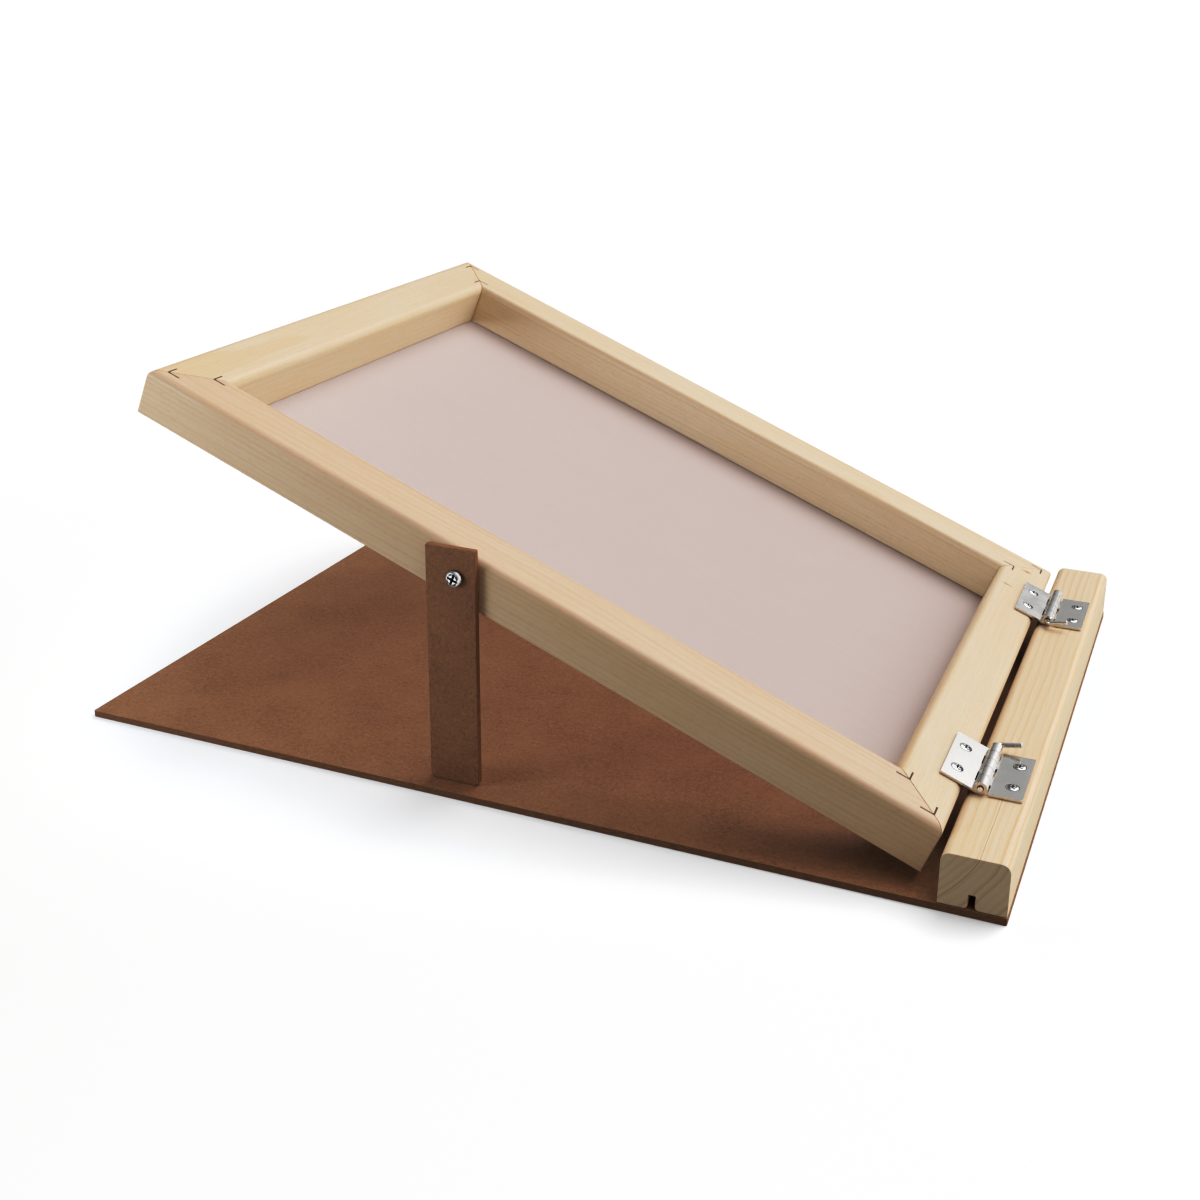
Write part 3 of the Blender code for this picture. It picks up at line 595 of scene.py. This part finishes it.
def make_hardboard():
    """The base board, lighter than the leg by painted light, and the prop leg, its cut edges lightened
    partly by painted light.
    """
    boards = (("base_board", "hardboard_base", WORLD_Z, BASE_BOARD_TONE_AND_PAINTED_LIGHT, 0.85),
              # partly painted light: the leg's edge level of 1.2 lightens its cut edges, as light from above
              # would
              ("prop_leg", "hardboard_leg", ACROSS, PROP_LEG_TONE, 1.2))
    for node, name, face, tone, edge_level in boards:
        low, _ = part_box(node)
        refine(node, hardboard(name, Vector(low), face, tone, edge_level), BOARD_EASE)


def make_metal():
    """Hinge leaves, pins, screws and V-nails, with painted shade where light hardly gets in."""
    leaf_nickel = plated("nickel_leaf", NICKEL_LEAF, 0.12, ACROSS)
    # painted shade for the recesses, countersinks, knuckle gaps and the prop screw's rim
    painted_shade_steel = shadowed_steel()
    pin_nickel = plated("nickel_pin", NICKEL_PIN, 0.16, ACROSS)
    zinc = plated("zinc_screw", ZINC_SCREW, 0.27, WORLD_Z)
    nail_steel = dark_steel()
    for node in frame["nodes"]:
        if node.startswith("hinge_leaf"):
            leaf = refine(node, leaf_nickel, LEAF_EASE)
            screws = [node.replace("leaf", "screw") + "_" + number for number in ("1", "2")]
            # painted shade in the countersinks and between the knuckles
            darken(leaf, painted_shade_steel, screws, COUNTERSINK_RADIUS, COUNTERSINK_DEPTH)
            darken_gaps(leaf, node)
        elif node.startswith("hinge_pin"):
            refine(node, pin_nickel, PIN_EASE, 40.0)
        elif "screw" in node:
            screw = refine(node, zinc, SCREW_EASE, 30.0)
            # painted shade in the screw's recess, and on the prop screw's rim
            darken(screw, painted_shade_steel, [node], RECESS_REACH[node.split("_")[0]], RECESS_DEPTH)
            if node.startswith("prop"):
                darken(screw, painted_shade_steel, [node], PROP_HEAD_REACH, PROP_RIM_DEPTH, PROP_HEAD_RIM)
        elif node.startswith("v_nail"):
            refine(node, nail_steel, NAIL_EASE, 30.0, 1)


# ---------------------------------------------------------------- cloth and cord

class FrameSpace:
    """The raised frame's own axes: x towards the hinge, y to the back, w up from the underside."""

    def __init__(self):
        lows = []
        highs = []
        turn = Matrix.Rotation(-FRAME_TILT, 3, "Y")
        for node in RAILS:
            points = [turn @ corner.co for corner in frame["nodes"][node].data.vertices]
            lows.append([min(point[axis] for point in points) for axis in range(3)])
            highs.append([max(point[axis] for point in points) for axis in range(3)])
        self.low = Vector([min(values) for values in zip(*lows)])
        self.high = Vector([max(values) for values in zip(*highs)])
        self.turn = turn.transposed()

    def corner(self, to_x, to_y, inset, w):
        """A point inset millimetres in from both outer faces of the corner at (to_x, to_y)."""
        x = self.high.x - inset * MM if to_x > 0 else self.low.x + inset * MM
        y = self.high.y - inset * MM if to_y > 0 else self.low.y + inset * MM
        return Vector((x, y, self.low.z + w * MM))


def arc(centre, radius, start, end, steps):
    """Points from start to end degrees round centre."""
    points = []
    for step in range(steps + 1):
        angle = math.radians(start + (end - start) * step / steps)
        points.append((centre[0] + radius * math.cos(angle), centre[1] + radius * math.sin(angle)))
    return points


def tucked_edge():
    """The cloth's path from the window into the groove and over the cord: (inset, w) in millimetres."""
    path = [(MOUTH_END + CLOTH_START, CLOTH_LEVEL)]
    path += arc((MOUTH_END, MOUTH_RADIUS), MOUTH_RADIUS - CLOTH_LEVEL, 270, 180, 6)
    path += arc((CORD_INSET, CORD_LEVEL), CLOTH_OVER_CORD, 0, 180, 10)
    path.append((CORD_INSET - CLOTH_OVER_CORD, CLOTH_END_LEVEL))
    return path


def make_cloth(space, material):
    """One sheet across the window whose four edges turn up into the groove round the cord."""
    bm = bmesh.new()
    path = tucked_edge()
    corners = ((-1, -1), (1, -1), (1, 1), (-1, 1))
    rings = []
    for inset, w in path:
        rings.append([bm.verts.new(space.turn @ space.corner(*signs, inset, w)) for signs in corners])
    bm.faces.new(rings[0])
    for inner, outer in zip(rings, rings[1:]):
        for index in range(4):
            after = (index + 1) % 4
            bm.faces.new((inner[index], outer[index], outer[after], inner[after]))
    long_edges = [item for item in bm.edges if item.calc_length() > LONG_EDGE]
    bmesh.ops.subdivide_edges(bm, edges=long_edges, cuts=CLOTH_CUTS, use_grid_fill=True)
    bmesh.ops.recalc_face_normals(bm, faces=bm.faces)
    cloth = new_piece("screen_cloth", bm, material, 60.0)
    solid = cloth.modifiers.new("thickness", "SOLIDIFY")
    solid.thickness = CLOTH_THICKNESS * MM
    solid.offset = 0.0
    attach(cloth, "screen_frame")
    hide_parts("screen_mesh")


def cord_route(space):
    """Points about every CORD_STEP round the groove's centre line, in the frame's own axes."""
    points = []
    for to_x, to_y, start in ((-1, -1, 180), (1, -1, 270), (1, 1, 0), (-1, 1, 90)):
        centre = space.corner(to_x, to_y, CORD_INSET + CORD_TURN, CORD_LEVEL)
        for x, y in arc((0, 0), CORD_TURN * MM, start, start + 90, 4):
            points.append(centre + Vector((x, y, 0)))
    points.append(points[0])
    route = []
    for first, second in zip(points, points[1:]):
        count = max(1, round((second - first).length / (CORD_STEP * MM)))
        for step in range(count):
            route.append(first.lerp(second, step / count))
    return route


def strand_ring(point, sideways, twist):
    """The cord's outline round point: three lobes, one for each strand, turned by twist."""
    ring = []
    for side in range(CORD_SIDES):
        angle = 2 * math.pi * side / CORD_SIDES
        lobe = abs(math.cos(1.5 * (angle - twist))) ** 0.6
        radius = CORD_RADIUS * (1.0 - CORD_HOLLOW + CORD_HOLLOW * lobe) * MM
        ring.append(point + sideways * math.cos(angle) * radius + WORLD_Z * math.sin(angle) * radius)
    return ring


def make_cord(space, material):
    """A three-strand laid cord, pressed into the groove all round."""
    route = cord_route(space)
    total = sum((second - first).length for first, second in zip(route, route[1:] + route[:1]))
    twists = round(total / (CORD_LAY * MM))
    bm = bmesh.new()
    rings = []
    run = 0.0
    for index, point in enumerate(route):
        after = route[(index + 1) % len(route)]
        sideways = (after - route[index - 1]).normalized().cross(WORLD_Z)
        ring = strand_ring(point, sideways, 2 * math.pi * twists * run / total)
        rings.append([bm.verts.new(space.turn @ spot) for spot in ring])
        run += (after - point).length
    for ring, following in zip(rings, rings[1:] + rings[:1]):
        for side in range(CORD_SIDES):
            after = (side + 1) % CORD_SIDES
            bm.faces.new((ring[side], following[side], following[after], ring[after]))
    bmesh.ops.recalc_face_normals(bm, faces=bm.faces)
    cord = new_piece("laid_cord", bm, material, 70.0)
    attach(cord, "screen_frame")
    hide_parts("screen_cord")


# ---------------------------------------------------------------- stage

def build_floor():
    """White paper under the base, hidden from diffuse rays so that its bounce lights nothing."""
    bm = bmesh.new()
    bmesh.ops.create_grid(bm, x_segments=1, y_segments=1, size=FLOOR_SIZE)
    mesh = bpy.data.meshes.new("floor")
    bm.to_mesh(mesh)
    bm.free()
    floor = bpy.data.objects.new("floor", mesh)
    bpy.context.collection.objects.link(floor)
    floor.location.z = -FLOOR_DROP
    shader = Shader("floor_paper")
    paper = shader.noise(shader.add("ShaderNodeTexCoord", output="Object"), 300.0, 2.0)
    colour = shader.mix(paper, (0.97, 0.97, 0.97), (0.99, 0.99, 0.99))
    shader.surface.inputs["Emission Color"].default_value = (1.0, 1.0, 1.0, 1.0)
    shader.surface.inputs["Emission Strength"].default_value = FLOOR_GLOW
    mesh.materials.append(shader.finish(colour, 0.9))
    floor.visible_diffuse = False


def build_sky():
    """A sky that is brightest at its bank, and plain white where the camera looks at it."""
    world = bpy.data.worlds.new("studio")
    world.use_nodes = True
    bpy.context.scene.world = world
    nodes = world.node_tree.nodes
    links = world.node_tree.links
    toward = nodes.new("ShaderNodeVectorMath")
    toward.operation = "DOT_PRODUCT"
    toward.inputs[1].default_value = SKY_BANK
    links.new(nodes.new("ShaderNodeTexCoord").outputs["Generated"], toward.inputs[0])
    ramp = nodes.new("ShaderNodeValToRGB")
    set_stops(ramp, [(position, (level,) * 3) for position, level in SKY_LEVELS])
    links.new(toward.outputs["Value"], ramp.inputs[0])
    background = nodes["Background"]
    links.new(ramp.outputs[0], background.inputs["Color"])
    paper = nodes.new("ShaderNodeBackground")
    paper.inputs["Color"].default_value = (1.0, 1.0, 1.0, 1.0)
    shown = nodes.new("ShaderNodeMixShader")
    links.new(nodes.new("ShaderNodeLightPath").outputs["Is Camera Ray"], shown.inputs[0])
    links.new(background.outputs[0], shown.inputs[1])
    links.new(paper.outputs[0], shown.inputs[2])
    links.new(shown.outputs[0], nodes["World Output"].inputs["Surface"])


def add_lamp(name, kind, energy, shines):
    """A lamp that shines along a direction, and its light data."""
    light = bpy.data.lights.new(name, kind)
    light.energy = energy
    lamp = bpy.data.objects.new(name, light)
    bpy.context.collection.objects.link(lamp)
    lamp.rotation_euler = shines.to_track_quat("-Z", "Y").to_euler()
    return lamp, light


def build_lamps():
    """A broad overhead lamp from behind the object, and a cool soft box at the left."""
    _, sun = add_lamp("overhead", "SUN", SUN_STRENGTH, -Vector(SUN_FROM))
    sun.angle = SUN_SPREAD
    toward = Vector(LEFT_BOX_AIM) - Vector(LEFT_BOX_PLACE)
    lamp, box = add_lamp("left_box", "AREA", LEFT_BOX_POWER, toward)
    box.size = LEFT_BOX_SIZE
    box.color = LEFT_BOX_COLOUR
    lamp.location = LEFT_BOX_PLACE
    lamp.visible_camera = False


def build_camera():
    """The camera from its place, yaw, pitch and roll, as a rotation matrix."""
    forward = Vector((-math.sin(CAMERA_YAW) * math.cos(CAMERA_PITCH),
                      math.cos(CAMERA_YAW) * math.cos(CAMERA_PITCH), -math.sin(CAMERA_PITCH)))
    level = Vector((math.cos(CAMERA_YAW), math.sin(CAMERA_YAW), 0.0))
    upright = level.cross(forward)
    right = level * math.cos(CAMERA_ROLL) + upright * math.sin(CAMERA_ROLL)
    above = upright * math.cos(CAMERA_ROLL) - level * math.sin(CAMERA_ROLL)
    data = bpy.data.cameras.new("camera")
    data.lens = CAMERA_LENS
    data.sensor_width = 36.0
    data.shift_x, data.shift_y = CAMERA_SHIFT
    data.clip_start = 0.01
    data.clip_end = 200.0
    camera = bpy.data.objects.new("camera", data)
    bpy.context.collection.objects.link(camera)
    rotation = Matrix((right, above, -forward)).transposed()
    camera.matrix_world = Matrix.Translation(CAMERA_PLACE) @ rotation.to_4x4()
    bpy.context.scene.camera = camera


def set_tones():
    """A contrasty print: deep warm shadows and a soft shoulder under the white."""
    view = bpy.context.scene.view_settings
    view.view_transform = "Standard"
    view.use_curve_mapping = True
    curve = view.curve_mapping.curves[3]
    for light, shown in TONE_CURVE:
        curve.points.new(light, shown)
    view.curve_mapping.update()


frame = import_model()
set_tones()
build_camera()
build_floor()
build_sky()
build_lamps()
make_wood()
make_hardboard()
make_metal()
frame_space = FrameSpace()
make_cloth(frame_space, screen_cloth(hinge_axis()))
make_cord(frame_space, cotton("cord_cotton"))
